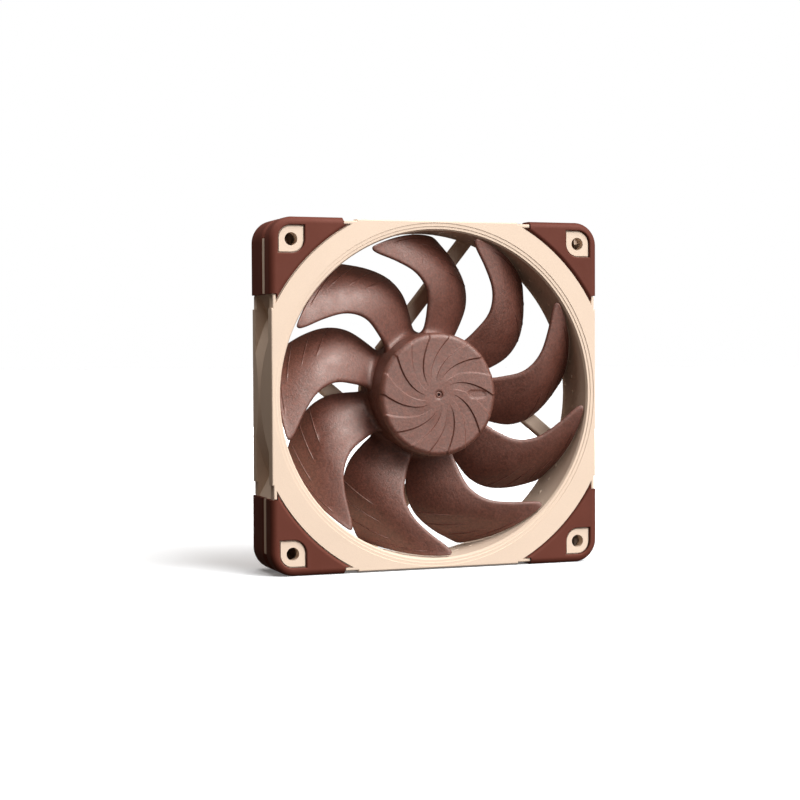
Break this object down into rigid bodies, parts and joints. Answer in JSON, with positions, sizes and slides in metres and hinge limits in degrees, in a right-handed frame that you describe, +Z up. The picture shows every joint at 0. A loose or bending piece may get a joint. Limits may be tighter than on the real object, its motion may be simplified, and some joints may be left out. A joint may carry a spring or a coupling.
{
  "type": "case fan",
  "caption": "Square axial cooling fan for a computer case: swept blades in a round duct, four rear struts, soft corner pads and mounting holes.",
  "frame": {"origin": "centre of the fan, on the rotor axis halfway through its depth", "axes": "+Y along the rotor axis towards the outlet and the struts, -Y towards the intake, +X to the right seen from the intake, +Z up"},
  "size_m": [0.12, 0.025, 0.12],
  "materials": {
    "frame_plastic": "fine matt moulded plastic, warm beige",
    "impeller_plastic": "glass-filled plastic with a low sheen, dark reddish brown",
    "pad_rubber": "soft silicone rubber, reddish brown",
    "steel": "bare steel",
    "ferrite": "dark bonded magnet",
    "brass": "turned brass",
    "sintered_bronze": "oil-soaked sintered bronze",
    "black_rubber": "black rubber",
    "white_plastic": "slippery white plastic",
    "nickel": "nickel-plated magnet",
    "insulator_plastic": "natural white plastic",
    "copper": "enamelled copper wire",
    "tin": "tinned pins",
    "board": "green circuit board",
    "black_plastic": "black moulded chip body",
    "capacitor_ceramic": "brown ceramic chip",
    "label_paper": "printed label with no lettering, dark brown"
  },
  "bodies": {
    "frame": {"frame_housing": "frame_plastic", "bearing_tube": "brass", "bearing_sleeve": "sintered_bronze", "oil_seal": "black_rubber", "thrust_washer": "white_plastic", "lift_magnet": "nickel", "tube_end_cap": "brass", "stator_core": "steel", "insulator_front": "insulator_plastic", "insulator_rear": "insulator_plastic", "coil_1": "copper", "coil_2": "copper", "coil_3": "copper", "coil_4": "copper", "winding_pins": "tin", "circuit_board": "board", "driver_chip": "black_plastic", "hall_sensor": "black_plastic", "capacitors": "capacitor_ceramic", "rear_label": "label_paper", "front_pad_top_right": "pad_rubber", "front_pad_top_left": "pad_rubber", "front_pad_bottom_left": "pad_rubber", "front_pad_bottom_right": "pad_rubber", "rear_pad_top_right": "pad_rubber", "rear_pad_top_left": "pad_rubber", "rear_pad_bottom_left": "pad_rubber", "rear_pad_bottom_right": "pad_rubber"},
    "rotor": {"impeller": "impeller_plastic", "rotor_yoke": "steel", "rotor_magnet": "ferrite", "rotor_shaft": "steel", "shaft_bush": "brass", "shaft_clip": "steel"}
  },
  "joints": [
    {"name": "rotor_spin", "type": "hinge", "parent": "frame", "child": "rotor", "pos_m": [0, 0, 0], "axis": [0, -1, 0], "continuous": true}
  ]
}
